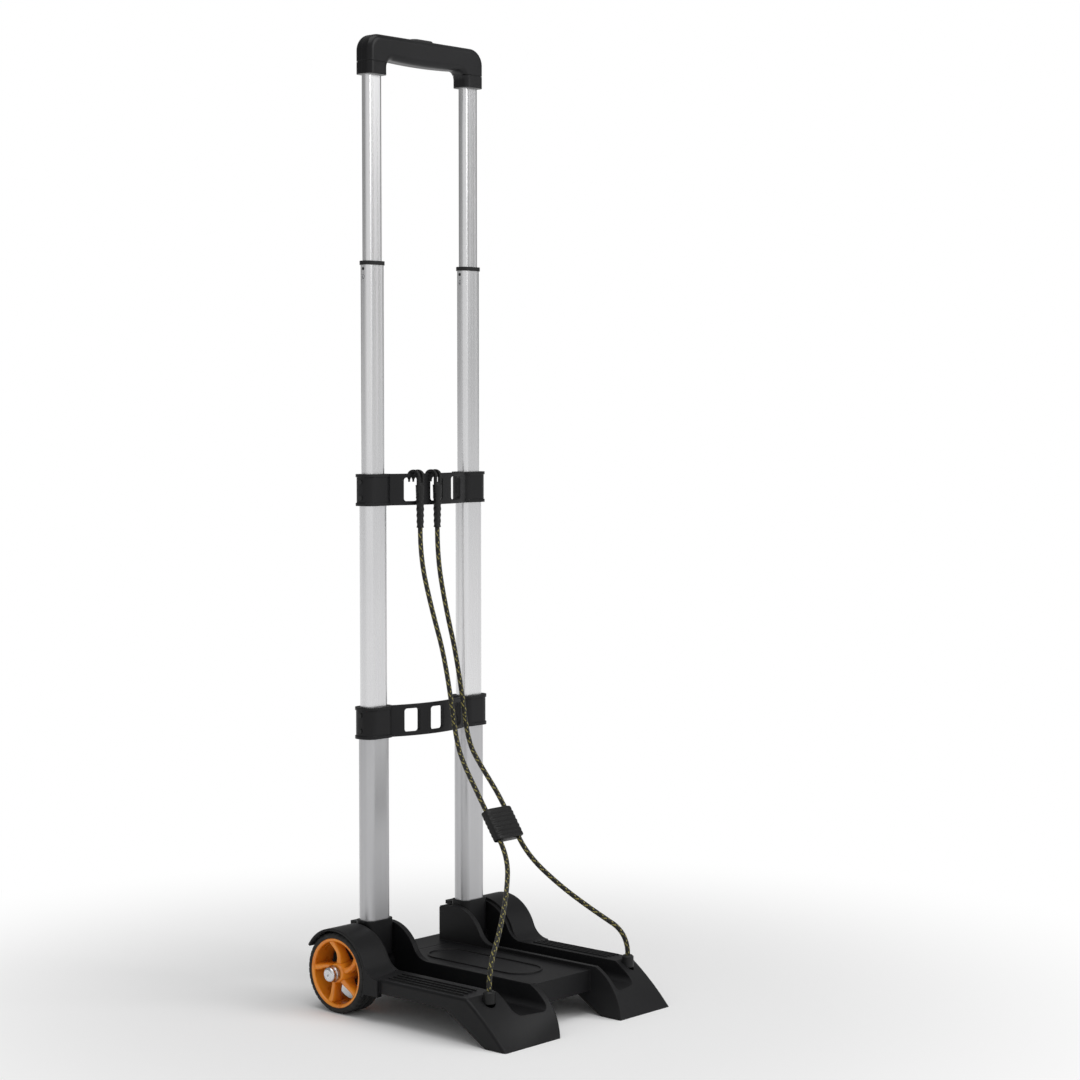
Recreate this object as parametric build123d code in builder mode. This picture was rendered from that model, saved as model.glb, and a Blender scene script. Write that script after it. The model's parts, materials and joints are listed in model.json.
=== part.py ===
"""Compact folding luggage cart: a moulded base on two wheels, and a four-stage telescopic mast.

Millimetres. X runs across the cart, -Y is its front, +Z is up.
The origin is on the floor, under the middle of the base.
"""

import os
from math import pi, radians, tan

from build123d import *

os.makedirs("parts", exist_ok=True)

# ---------------------------------------------------------------- driving dimensions
overall_height = 980.0  # floor to the top of the grip, mast drawn out
foot_reach = 231.4  # axle to the toes of the feet
wheel_radius = 40.8
tube_x = 69.5  # half the distance between the two masts
wall = 1.2  # every tube's wall
slide_gap = 0.3  # between parts that slide or turn past each other

fender_radius = 45.0
axle_y = (foot_reach - fender_radius) / 2  # centres the base over the origin
axle_z = wheel_radius
front_y = axle_y - foot_reach
sides = {"left": -1, "right": 1}

# tubes: (width, depth, corner radius), each one slides inside the one before it
lower_size = (32.0, 20.0, 8.0)
second_size = (29.0, 17.0, 6.5)
third_size = (25.0, 14.0, 5.5)
handle_size = (21.5, 11.0, 4.5)

# heights with the mast drawn out
socket_top = axle_z + 47.2
lower_bridge_z = 289.2
upper_bridge_z = 524.6
bridge_height = 32.0
collar_z = 752.3
leg_bottom = 939.8
end_gap = 1.0  # left between two stages that have been pushed together

collar_drop = 2.0  # a collar's skirt below collar_z
collar_cap = 2.0  # and its top above it
clamp_rim = 2.0  # a clamp's top, over the end of its tube
stage2_travel = upper_bridge_z - lower_bridge_z - bridge_height - end_gap
stage3_travel = collar_z - collar_drop - upper_bridge_z - bridge_height / 2 - end_gap
handle_travel = leg_bottom - collar_z - collar_cap - end_gap

# a lock pin stands this far above the foot of its tube, and points at a hole in the outer tube
pin_rise = 21.8
rivet_offset = 8.0  # the rivets on a clamp, above and below its middle
second_bottom = lower_bridge_z - rivet_offset - pin_rise
third_bottom = upper_bridge_z - rivet_offset - pin_rise
handle_bottom = collar_z - 14.0 - pin_rise
lower_bottom = second_bottom - stage2_travel - end_gap
lower_top = lower_bridge_z + bridge_height / 2 - clamp_rim
second_top = upper_bridge_z + bridge_height / 2 - clamp_rim
third_top = collar_z + 1.0
handle_top = leg_bottom + 12.0

# base
channel_width = 37.0
cheek = 6.0  # wall on each side of a channel
channel_in = tube_x - channel_width / 2
channel_out = tube_x + channel_width / 2
foot_in = channel_in - cheek
foot_out = 123.0
channel_floor = 26.5
deck_top = 45.0
crest = 49.0  # top of the inner walls
brow = 44.0  # top of the outer walls
skin = 3.0
ledge_under = 30.0
rear_y = axle_y + 38.0
hinge_rear = axle_y + 20.0
cheek_radius = 42.5
sweep_radius = 22.0  # of the hollow sweep from a cheek or a fender down to the foot
fender_wall = 2.4
fender_in = channel_out + 4.0
fender_out = 126.0
sole_y = front_y + 26.0  # rear edge of the part of a foot that stands on the floor
edge_round = 3.0
pad_depth = 4.0
grommet_radius = 6.0
through = 60.0  # long enough to cut past the base on any side

# wheels and axle
axle_radius = 4.0
tyre_in = fender_in + 5.0
tyre_out = fender_out - 1.5
rim_radius = 35.0
bore_gap = 0.08

# cords
cord_diameter = 5.0
anchor = (103.0, axle_y - 192.0)
anchor_top = 50.5
keeper_at = Vector(8.0, axle_y - 106.0, 187.0)
keeper_axis = Vector(0, 0.568, 0.823).normalized()  # up the line that the cords take from the feet
keeper_size = (38.0, 12.0, 34.0)
keeper_span = 28.0  # between the two cords where they meet the keeper
hook_x = {"left": -27.0, "right": -5.0}
plate_front = axle_y - 22.0
hook_bottom = upper_bridge_z - 39.0


def finish(builder, name):
    """Labels a finished piece and writes it."""
    builder.part.label = name
    export_step(builder.part, f"parts/{name}.step")


# ---------------------------------------------------------------- base moulding
def foot_outline(x, top, brow_y, nose):
    """Side view of a foot at x: flat top, a rounded nose down to the toe, and a leg to the floor."""
    rear = axle_y - fender_radius + 20
    leg_top = front_y + 78.0
    with BuildSketch(Plane.YZ.offset(x)) as outline:
        with BuildLine():
            Polyline((leg_top, ledge_under), (rear, ledge_under), (rear, top), (brow_y, top))
            ThreePointArc((brow_y, top), nose, (front_y, 0))
            Polyline((front_y, 0), (sole_y, 0), (leg_top, ledge_under))
        make_face()
    return outline.sketch


def arch_outline(x, radius, level):
    """Side view at x of the front half of an arch over the axle, swept down to a flat top at a level."""
    rise = level + sweep_radius - axle_z
    reach = ((radius + sweep_radius) ** 2 - rise**2) ** 0.5
    share = radius / (radius + sweep_radius)
    meeting = (axle_y - reach * share, axle_z + rise * share)
    crown = (axle_y, axle_z + radius)
    with BuildSketch(Plane.YZ.offset(x)) as outline:
        with BuildLine():
            TangentArc((axle_y - reach, level), meeting, tangent=(1, 0))
            RadiusArc(meeting, crown, radius)
            Polyline(crown, (axle_y, channel_floor), (axle_y - reach, channel_floor), (axle_y - reach, level))
        make_face()
    return outline.sketch


def cheek_rear(x):
    """Side view at x of a hinge cheek behind the axle."""
    with BuildSketch(Plane.YZ.offset(x)) as outline:
        with BuildLine():
            Polyline(
                (axle_y, channel_floor), (axle_y, axle_z + cheek_radius),
                (hinge_rear, axle_z + cheek_radius - 4), (hinge_rear, channel_floor), close=True)
        make_face()
    return outline.sketch


def foot_top(x):
    """Height of a foot's flat top, which falls gently from its inner edge to its outer one."""
    return crest - (crest - brow) * (x - foot_in) / (foot_out - foot_in)


def plan_block(x_from, x_to, y_from, y_to):
    """A rectangle in plan on the current builder's plane, given by its sides."""
    with Locations(((x_from + x_to) / 2, (y_from + y_to) / 2)):
        Rectangle(abs(x_to - x_from), y_to - y_from)


ledge_start, ledge_end = front_y + 62.0, axle_y - 68.0
rib_width, rib_rise = 1.8, 1.2
deck_front = front_y + 40.0
wall_thickness = 4.0
well_side = fender_in + fender_wall
mouth = axle_y - 50.0  # the channels are square in section behind this, where the hinges turn

with BuildPart() as base:
    for side in sides.values():
        # foot: its outer side slopes more gently than its inner side
        inner = foot_outline(side * foot_in, crest, front_y + 33, (front_y + 8, 27))
        outer = foot_outline(side * foot_out, brow, front_y + 52, (front_y + 23, 22))
        loft([inner, outer], ruled=True)
    # round off the feet along their sides and across their toes
    flanks = base.edges().filter_by(lambda e: abs(abs(e.center().X) - foot_out) < 0.1)
    upper = flanks.filter_by(lambda e: e.center().Z > ledge_under + 5)
    nose = flanks.filter_by(lambda e: 3 < e.center().Z <= ledge_under + 5 and e.center().Y < sole_y)
    fillet(upper + nose, edge_round)
    for side in sides.values():
        # hinge housing: an inner cheek, an outer cheek and a rear stop wall
        for start, thickness in ((foot_in, cheek), (channel_out, fender_in - channel_out)):
            level = foot_top(start + thickness)
            extrude(arch_outline(side * start, cheek_radius, level), amount=side * thickness)
            extrude(cheek_rear(side * start), amount=side * thickness)
        with BuildSketch(Plane.XY.offset(channel_floor)):
            inner_x, outer_x = side * (foot_in + 1), side * (channel_out + 1)
            plan_block(inner_x, outer_x, hinge_rear - wall_thickness, hinge_rear)
        extrude(amount=54.0)
        # fender: an arch over the wheel, closed on its inner side
        with BuildSketch(Plane.YZ.offset(side * fender_in)):
            with Locations((axle_y, axle_z)):
                Circle(fender_radius)
        extrude(amount=side * (fender_out - fender_in))
        fender_front = arch_outline(side * fender_in, fender_radius, foot_top(foot_out))
        extrude(fender_front, amount=side * (fender_out - fender_in))
        # channel floor
        with BuildSketch(Plane.XY.offset(channel_floor - skin)):
            plan_block(side * foot_in, side * (channel_out + cheek - 1), sole_y, hinge_rear)
        extrude(amount=skin)
    # deck between the feet, with a wall down its front and rear
    with BuildSketch(Plane.XY.offset(deck_top - skin)):
        plan_block(-foot_in - 0.5, foot_in + 0.5, deck_front, rear_y)
    extrude(amount=skin)
    with BuildSketch(Plane.XY.offset(channel_floor - skin)):
        plan_block(-foot_in - 0.5, foot_in + 0.5, deck_front, deck_front + wall_thickness)
        plan_block(-foot_in - 0.5, foot_in + 0.5, rear_y - wall_thickness, rear_y)
    extrude(amount=deck_top - channel_floor + skin)
    for side in sides.values():
        # rear bar between the deck and the fender
        with BuildSketch(Plane.XY.offset(channel_floor)):
            plan_block(side * foot_in, side * fender_in, hinge_rear - 2, rear_y)
        extrude(amount=deck_top - channel_floor)
        # long ribs along the top of each foot, on both sides of the channel
        for x in (channel_out + 9, channel_out + 15, channel_out + 21, channel_out + 27):
            with BuildSketch(Plane.XY.offset(ledge_under + 5)):
                plan_block(side * (x - rib_width / 2), side * (x + rib_width / 2), ledge_start, ledge_end)
            extrude(amount=foot_top(x) + rib_rise - ledge_under - 5)
    # nothing of the fenders or the housings reaches below the channels
    with BuildSketch(Plane.XY.offset(-through)):
        plan_block(-fender_out - 1, fender_out + 1, axle_y - fender_radius - 1, axle_y + fender_radius + 1)
    extrude(amount=through + channel_floor - skin, mode=Mode.SUBTRACT)
    for side in sides.values():
        # wheel well, open below the fender and at its rear
        with BuildSketch(Plane.YZ.offset(side * well_side)):
            with Locations((axle_y, axle_z)):
                Circle(fender_radius - fender_wall)
        extrude(amount=side * through, mode=Mode.SUBTRACT)
        with BuildSketch(Plane.XY.offset(-through)):
            plan_block(side * well_side, side * (well_side + through), axle_y - 36, axle_y + 46)
        extrude(amount=through + axle_z + 1, mode=Mode.SUBTRACT)
        with BuildSketch(Plane.YZ.offset(side * well_side)):
            with BuildLine():
                Polyline((axle_y, axle_z), (axle_y + 80, axle_z + 50), (axle_y + 80, axle_z), close=True)
            make_face()
        extrude(amount=side * through, mode=Mode.SUBTRACT)
        # channel for the folded mast: square round the hinge, with rounded lower corners in front of it
        with BuildSketch(Plane.XY.offset(channel_floor)):
            plan_block(side * channel_in, side * channel_out, mouth, hinge_rear - wall_thickness)
        extrude(amount=through, mode=Mode.SUBTRACT)
        with BuildSketch(Plane.XZ.offset(-mouth)) as channel:
            with Locations((side * tube_x, channel_floor + through / 2)):
                RectangleRounded(channel_width, through, 7.0)
        extrude(amount=mouth - front_y + 10, mode=Mode.SUBTRACT)
        # underside pockets that leave ribs and a skin
        with BuildSketch(Plane.XY):
            with Locations(*[(side * (channel_out + foot_out) / 2, axle_y - y) for y in (64, 93, 122)]):
                Rectangle(foot_out - channel_out - 2 * skin, 26)
        extrude(amount=brow - skin, mode=Mode.SUBTRACT)
        # recess for the foot pad
        with BuildSketch(Plane.XY):
            plan_block(side * (foot_in + 4), side * (foot_out - 5), front_y + 4, sole_y - 4)
        extrude(amount=pad_depth, mode=Mode.SUBTRACT)
        # hole for the cord's grommet
        with BuildSketch(Plane.XY.offset(channel_floor)):
            with Locations((side * anchor[0], anchor[1])):
                Circle(grommet_radius + bore_gap)
        extrude(amount=through, mode=Mode.SUBTRACT)
    # raised oval ribs on the deck
    with BuildSketch(Plane.XY.offset(deck_top - 0.5)):
        for growth in (0, 12, 24):
            with Locations((0, axle_y - 88)):
                SlotOverall(96 + 2 * growth, 22 + growth, rotation=90)
                SlotOverall(92 + 2 * growth, 18 + growth, rotation=90, mode=Mode.SUBTRACT)
    extrude(amount=1.7)
    # axle bore
    with BuildSketch(Plane.YZ.offset(-fender_out)):
        with Locations((axle_y, axle_z)):
            Circle(axle_radius + bore_gap)
    extrude(amount=2 * fender_out, mode=Mode.SUBTRACT)
finish(base, "base_moulding")


# ---------------------------------------------------------------- axle, wheels and small base parts
def on_axle(x, radius, bore=0.0):
    """A disc's sketch round the axle's line at x, with a bore if one is given."""
    with BuildSketch(Plane.YZ.offset(x)) as disc:
        with Locations((axle_y, axle_z)):
            Circle(radius)
            if bore:
                Circle(bore, mode=Mode.SUBTRACT)
    return disc.sketch


axle_end = fender_out + 4.0
with BuildPart() as axle:
    extrude(on_axle(-axle_end, axle_radius), amount=2 * axle_end)
    chamfer(axle.edges().filter_by(GeomType.CIRCLE), 0.6)
finish(axle, "axle")

cap_length = 8.0
with BuildPart() as axle_caps:
    # domed push-on caps over the ends of the axle
    for side in sides.values():
        extrude(on_axle(side * (fender_out + 0.6), 8.5), amount=side * cap_length)
        extrude(on_axle(side * (fender_out + 0.4), axle_radius), amount=side * 3.6, mode=Mode.SUBTRACT)
    rims_of_caps = axle_caps.edges().filter_by(GeomType.CIRCLE).group_by(Axis.X)
    fillet(rims_of_caps[0] + rims_of_caps[-1], 3.0)
finish(axle_caps, "axle_caps")

spacer_start = fender_in + fender_wall
with BuildPart() as axle_spacers:
    for side in sides.values():
        spacer = on_axle(side * spacer_start, 8.0, axle_radius + bore_gap)
        extrude(spacer, amount=side * (tyre_in - spacer_start - 0.4))
finish(axle_spacers, "axle_spacers")

with BuildPart() as foot_pads:
    # rubber soles set into the undersides of the toes
    for side in sides.values():
        with BuildSketch(Plane.XY):
            plan_block(side * (foot_in + 4.5), side * (foot_out - 5.5), front_y + 4.5, sole_y - 4.5)
        extrude(amount=pad_depth)
finish(foot_pads, "foot_pads")

with BuildPart() as cord_grommets:
    # bushes that hold the cords' lower ends in the feet
    for side in sides.values():
        with BuildSketch(Plane.XY.offset(anchor_top - 12)):
            with Locations((side * anchor[0], anchor[1])):
                Circle(grommet_radius)
        extrude(amount=12.0)
    chamfer(cord_grommets.edges().group_by(Axis.Z)[-1], 1.5)
finish(cord_grommets, "cord_grommets")

with BuildPart() as fold_catches:
    # sprung catches on the stop walls: a leg, and a nose at its top
    foot_z, nose_z, top_z = axle_z + 12, socket_top - 9, socket_top - 5
    for side in sides.values():
        with BuildSketch(Plane.YZ.offset(side * tube_x - 7)):
            with BuildLine():
                Polyline(
                    (hinge_rear, foot_z), (hinge_rear + 3.5, foot_z), (hinge_rear + 3.5, nose_z),
                    (hinge_rear + 8, nose_z), (hinge_rear + 8, top_z), (hinge_rear, top_z), close=True)
            make_face()
        extrude(amount=14)
finish(fold_catches, "fold_catches")

tyre_width = tyre_out - tyre_in
rim_wall = 3.0
tyre_edge = 3.5
bush_radius = 6.0
hub_radius = 10.0
spoke_count = 5
spoke_width = 8.0
spoke_recess = 2.0
for name, side in sides.items():
    inner, across = side * tyre_in, side * tyre_width

    with BuildPart() as tyre:
        extrude(on_axle(inner, wheel_radius), amount=across)
        fillet(tyre.edges().filter_by(GeomType.CIRCLE), tyre_edge)
        extrude(on_axle(inner, rim_radius), amount=across, mode=Mode.SUBTRACT)
    finish(tyre, f"tyre_{name}")

    with BuildPart() as rim:
        # a band and a hub, joined by spokes that are set back a little from the band's sides
        extrude(on_axle(inner, rim_radius, rim_radius - rim_wall), amount=across)
        extrude(on_axle(inner, hub_radius), amount=across)
        with BuildSketch(Plane.YZ.offset(inner + side * spoke_recess * 3)):
            with Locations((axle_y, axle_z)):
                with PolarLocations((hub_radius + rim_radius - rim_wall) / 2, spoke_count, start_angle=90):
                    Rectangle(rim_radius - hub_radius, spoke_width)
        extrude(amount=across - side * spoke_recess * 4)
        extrude(on_axle(inner - side, bush_radius), amount=across + side * 2, mode=Mode.SUBTRACT)
    finish(rim, f"rim_{name}")

    with BuildPart() as bush:
        start = inner - side * 0.2
        extrude(on_axle(start, bush_radius, axle_radius + bore_gap), amount=across + side * 0.4)
    finish(bush, f"wheel_bush_{name}")


# ---------------------------------------------------------------- telescopic tubes
def section(size, z, side, grow=0.0, hole=None):
    """A rounded tube's outline at height z, grown, less the same outline grown by hole."""
    width, depth, corner = size
    with BuildSketch(Plane.XY.offset(z)) as outline:
        with Locations((side * tube_x, axle_y)):
            RectangleRounded(width + 2 * grow, depth + 2 * grow, corner + grow)
            if hole is not None:
                RectangleRounded(width + 2 * hole, depth + 2 * hole, corner + hole, mode=Mode.SUBTRACT)
    return outline.sketch


def across_tube(side, z, radius):
    """A round sketch on a tube's middle plane, for what points at its -X face."""
    with BuildSketch(Plane.YZ.offset(side * tube_x)) as disc:
        with Locations((axle_y, z)):
            Circle(radius)
    return disc.sketch


pin_radius = 2.0
stages = {
    "lower": (lower_size, lower_bottom, lower_top),
    "second": (second_size, second_bottom, second_top),
    "third": (third_size, third_bottom, third_top),
    "handle": (handle_size, handle_bottom, handle_top),
}
inside = {"lower": "second", "second": "third", "third": "handle"}
for stage, (size, bottom, top) in stages.items():
    for name, side in sides.items():
        with BuildPart() as tube:
            extrude(section(size, bottom, side, hole=-wall), amount=top - bottom)
            if stage in inside:  # the hole that the pin of the next tube locks into
                pin_z = stages[inside[stage]][1] + pin_rise
                extrude(across_tube(side, pin_z, pin_radius + slide_gap), amount=-size[0], mode=Mode.SUBTRACT)
            if stage != "lower":  # the hole that its own pin passes through
                own = across_tube(side, bottom + pin_rise, pin_radius + slide_gap)
                extrude(own, amount=-size[0], mode=Mode.SUBTRACT)
        finish(tube, f"{stage}_tube_{name}")

# ---------------------------------------------------------------- sockets that hinge on the axle
socket_width = channel_width - 2 * slide_gap
socket_depth = 24.0
barrel_radius = 11.4
neck = (axle_z + 4, axle_z + 12)  # from the barrel up into the sleeve
sleeve_bottom = axle_z + 11
for name, side in sides.items():
    left_face = side * tube_x - socket_width / 2
    with BuildPart() as socket:
        extrude(on_axle(left_face, barrel_radius), amount=socket_width)
        with BuildSketch(Plane.XY.offset(neck[0])):
            with Locations((side * tube_x, axle_y)):
                Rectangle(socket_width, 2 * barrel_radius - 4)
        extrude(amount=neck[1] - neck[0])
        with BuildSketch(Plane.XY.offset(sleeve_bottom)):
            with Locations((side * tube_x, axle_y)):
                RectangleRounded(socket_width, socket_depth, lower_size[2])
        extrude(amount=socket_top - sleeve_bottom)
        extrude(section(lower_size, lower_bottom, side), amount=socket_top, mode=Mode.SUBTRACT)
        extrude(on_axle(left_face - 1, axle_radius + bore_gap), amount=socket_width + 2, mode=Mode.SUBTRACT)
    finish(socket, f"socket_{name}")


# ---------------------------------------------------------------- bridges between the masts
plate_thickness = 4.0
plate_bulge = 12.0
plate_half = tube_x - 14.0
plate_bow = (plate_half**2 + plate_bulge**2) / (2 * plate_bulge)  # radius of its bow in plan


def plate_face(x):
    """Y of the plate's front face at x."""
    return plate_front + plate_bow - (plate_bow**2 - x**2) ** 0.5


def bridge_plan(z):
    """The plate between two clamps in plan, bowed forwards, of even thickness."""
    end_y = plate_front + plate_bulge
    with BuildSketch(Plane.XY.offset(z)) as plan:
        with BuildLine():
            ThreePointArc((-plate_half, end_y), (0, plate_front), (plate_half, end_y))
            Line((plate_half, end_y), (plate_half, end_y + plate_thickness))
            ThreePointArc(
                (plate_half, end_y + plate_thickness), (0, plate_front + plate_thickness),
                (-plate_half, end_y + plate_thickness))
            Line((-plate_half, end_y + plate_thickness), (-plate_half, end_y))
        make_face()
    return plan.sketch


window_size = (18.0, 24.0)
window_pitch = 32.0
clamp_wall = 2.8
clamp_lip = 1.0
lip_height = 3.0
rim_gap = 0.6  # between a clamp's top rim and the tube that slides through it
rivet_radius = 2.4
rivet_rise = 0.9
for name, middle, outer_size, inner_size in (
    ("lower", lower_bridge_z, lower_size, second_size),
    ("upper", upper_bridge_z, second_size, third_size),
):
    low = middle - bridge_height / 2
    with BuildPart() as bridge:
        extrude(bridge_plan(low), amount=bridge_height)
        with BuildSketch(Plane.XZ.offset(-axle_y)):
            with Locations((-window_pitch, middle), (0, middle), (window_pitch, middle)):
                RectangleRounded(*window_size, 3.0)
        extrude(amount=through, mode=Mode.SUBTRACT)
        for side in sides.values():
            extrude(section(outer_size, low, side, clamp_wall), amount=bridge_height)
            for lip_z in (low, low + bridge_height - lip_height):
                extrude(section(outer_size, lip_z, side, clamp_wall + clamp_lip), amount=lip_height)
        for side in sides.values():
            extrude(section(outer_size, low, side), amount=bridge_height - clamp_rim, mode=Mode.SUBTRACT)
            extrude(section(inner_size, low, side, rim_gap), amount=bridge_height, mode=Mode.SUBTRACT)
    finish(bridge, f"{name}_bridge")

    with BuildPart() as rivets:
        # two rivet heads on the -X face of each clamp
        for side in sides.values():
            with BuildSketch(Plane.YZ.offset(side * tube_x - outer_size[0] / 2 - clamp_wall)):
                with Locations((axle_y, middle + rivet_offset), (axle_y, middle - rivet_offset)):
                    Circle(rivet_radius)
            extrude(amount=-rivet_rise)
    finish(rivets, f"{name}_rivets")

with BuildPart() as collars:
    # thin caps over the tops of the third tubes
    for side in sides.values():
        skirt_bottom = collar_z - collar_drop
        extrude(section(third_size, skirt_bottom, side, 1.0, 0.0), amount=third_top - skirt_bottom)
        extrude(section(third_size, third_top, side, 1.0), amount=collar_z + collar_cap - third_top)
        extrude(section(handle_size, collar_z, side, slide_gap), amount=3.0, mode=Mode.SUBTRACT)
finish(collars, "collars")

with BuildPart() as tube_rivets:
    # a small rivet just under each collar
    for side in sides.values():
        with BuildSketch(Plane.YZ.offset(side * tube_x - third_size[0] / 2)):
            with Locations((axle_y, collar_z - 6.0)):
                Circle(1.5)
        extrude(amount=-0.3)
finish(tube_rivets, "tube_rivets")

# ---------------------------------------------------------------- locks inside the tubes
# each sliding tube has a block in its foot, with a sprung pin that points at the -X face
block_height = 25.5
pin_length = 7.0
spring_wire = 0.35
coil_gap = 0.1
bore_end = 6.5  # of the bore for a pin and its spring, past the tube's middle


def coil(start, direction, length, radius, turns):
    """A compression spring: a round wire along a helix."""
    with BuildPart() as spring:
        with BuildLine() as path:
            Helix(length / turns, length, radius, center=start, direction=direction)
        with BuildSketch(Plane(path.line @ 0, z_dir=path.line % 0)):
            Circle(spring_wire)
        sweep(path=path.line, is_frenet=True)
    return spring.part


for stage, outer_stage in (("second", "lower"), ("third", "second"), ("handle", "third")):
    size, bottom, _ = stages[stage]
    pin_z = bottom + pin_rise
    hollow = size[0] / 2 - wall
    pin_reach = stages[outer_stage][0][0] / 2 - wall - slide_gap  # pin tip, short of the outer tube
    pin_back = pin_reach - pin_length

    with BuildPart() as blocks:
        for side in sides.values():
            extrude(section(size, bottom, side, -wall), amount=block_height)
            with BuildSketch(Plane.YZ.offset(side * tube_x + bore_end)):
                with Locations((axle_y, pin_z)):
                    Circle(pin_radius + bore_gap)
            extrude(amount=-2 * hollow, mode=Mode.SUBTRACT)
    finish(blocks, f"{stage}_lock_blocks")

    for name, side in sides.items():
        with BuildPart() as pin:
            with BuildSketch(Plane.YZ.offset(side * tube_x - pin_reach)):
                with Locations((axle_y, pin_z)):
                    Circle(pin_radius)
            extrude(amount=pin_length)
        finish(pin, f"{stage}_pin_{name}")

    with BuildPart() as springs:
        for side in sides.values():
            start = (side * tube_x - pin_back + spring_wire + coil_gap, axle_y, pin_z)
            room = bore_end + pin_back - 2 * (spring_wire + coil_gap)
            add(coil(start, (1, 0, 0), room, pin_radius - 0.6, 5))
    finish(springs, f"{stage}_pin_springs")

# ---------------------------------------------------------------- grip, button and release rods
leg_width = 27.0
grip_depth = 22.0
grip_under = 956.0
bar_z = 966.0
bar_height = 5.0
button_size = (30.0, 13.0)
button_top = overall_height + 1.5
button_travel = 4.0
leg_out = tube_x + leg_width / 2
leg_in = tube_x - leg_width / 2


grip_corner = 17.0
grip_belly = 2.0
inner_corner = 8.0
grip_edge = 6.0
groove_rise = 12.0  # of the groove round each leg, above the leg's lower end
groove_height = 1.0
groove_depth = 0.5
bay_floor = grip_under + 3  # of the hollow that the release bar moves in
bay_width = 9.0
rod_radius = 1.8
with BuildPart() as grip:
    # two legs and a bar with a bellied underside
    with BuildSketch(Plane.XZ.offset(-axle_y - grip_depth / 2)):
        with BuildLine():
            Polyline(
                (-leg_in, leg_bottom), (-leg_out, leg_bottom), (-leg_out, overall_height),
                (leg_out, overall_height), (leg_out, leg_bottom), (leg_in, leg_bottom), (leg_in, grip_under))
            ThreePointArc((leg_in, grip_under), (0, grip_under - grip_belly), (-leg_in, grip_under))
            Line((-leg_in, grip_under), (-leg_in, leg_bottom))
        make_face()
    extrude(amount=grip_depth)
    across = grip.edges().filter_by(Axis.Y)
    fillet(across.filter_by(lambda e: e.center().Z > overall_height - 1), grip_corner)
    across = grip.edges().filter_by(Axis.Y)
    fillet(across.filter_by(lambda e: abs(e.center().Z - grip_under) < 1), inner_corner)
    rims = grip.edges().filter_by(lambda e: abs(abs(e.center().Y - axle_y) - grip_depth / 2) < 0.1)
    fillet(rims.filter_by(lambda e: e.center().Z > leg_bottom + 1), grip_edge)
    # a shallow groove round each leg, where the bar's moulding ends
    for side in sides.values():
        with BuildSketch(Plane.XY.offset(leg_bottom + groove_rise)):
            with Locations((side * tube_x, axle_y)):
                Rectangle(leg_width + 2, grip_depth + 2)
                inset = 2 * groove_depth
                RectangleRounded(leg_width - inset, grip_depth - inset, grip_edge, mode=Mode.SUBTRACT)
        extrude(amount=groove_height, mode=Mode.SUBTRACT)
    # bores for the handle tubes and the release rods, and the bay for the release bar and the button
    for side in sides.values():
        extrude(section(handle_size, leg_bottom, side), amount=handle_top - leg_bottom, mode=Mode.SUBTRACT)
        with BuildSketch(Plane.XY.offset(handle_top)):
            with Locations((side * tube_x, axle_y)):
                Circle(rod_radius + 2)
        extrude(amount=bar_z - handle_top, mode=Mode.SUBTRACT)
    with BuildSketch(Plane.XY.offset(bay_floor)):
        with Locations((0, axle_y)):
            Rectangle(2 * tube_x + 10, bay_width)
    extrude(amount=bar_z + bar_height + 0.6 - bay_floor, mode=Mode.SUBTRACT)
    with BuildSketch(Plane.XY.offset(bar_z)):
        with Locations((0, axle_y)):
            SlotOverall(button_size[0] + 2 * slide_gap, button_size[1] + 2 * slide_gap)
    extrude(amount=through, mode=Mode.SUBTRACT)

for name, kept in (("front", Keep.TOP), ("rear", Keep.BOTTOM)):
    with BuildPart() as shell:
        add(grip.part)
        split(bisect_by=Plane.XZ.offset(-axle_y), keep=kept)
    finish(shell, f"grip_shell_{name}")

with BuildPart() as push_button:
    with BuildSketch(Plane.XY.offset(bar_z + bar_height)):
        with Locations((0, axle_y)):
            SlotOverall(button_size[0], button_size[1])
    extrude(amount=button_top - bar_z - bar_height)
    fillet(push_button.edges().group_by(Axis.Z)[-1], 1.5)
finish(push_button, "push_button")

with BuildPart() as release_bar:
    with BuildSketch(Plane.XY.offset(bar_z)):
        with Locations((0, axle_y)):
            Rectangle(2 * tube_x + 8, bay_width - 1)
    extrude(amount=bar_height)
finish(release_bar, "release_bar")

rod_bottom = handle_bottom + block_height + button_travel + 1.0
with BuildPart() as release_rods:
    for side in sides.values():
        with BuildSketch(Plane.XY.offset(rod_bottom)):
            with Locations((side * tube_x, axle_y)):
                Circle(rod_radius)
        extrude(amount=bar_z - rod_bottom)
finish(release_rods, "release_rods")

with BuildPart() as button_spring:
    add(coil((0, axle_y, bay_floor + 0.5), (0, 0, 1), bar_z - bay_floor - 1.0, 3.2, 4))
finish(button_spring, "button_spring")

# ---------------------------------------------------------------- hooks, keeper and cords
hook_bar = 3.6
hook_width = 9.0
hook_gap = 0.5
bridge_top = upper_bridge_z + bridge_height / 2


def hook_axis_y(x):
    """Y of the line that a hook's cord hangs from."""
    return plate_face(x) - hook_gap - 5.0


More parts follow.
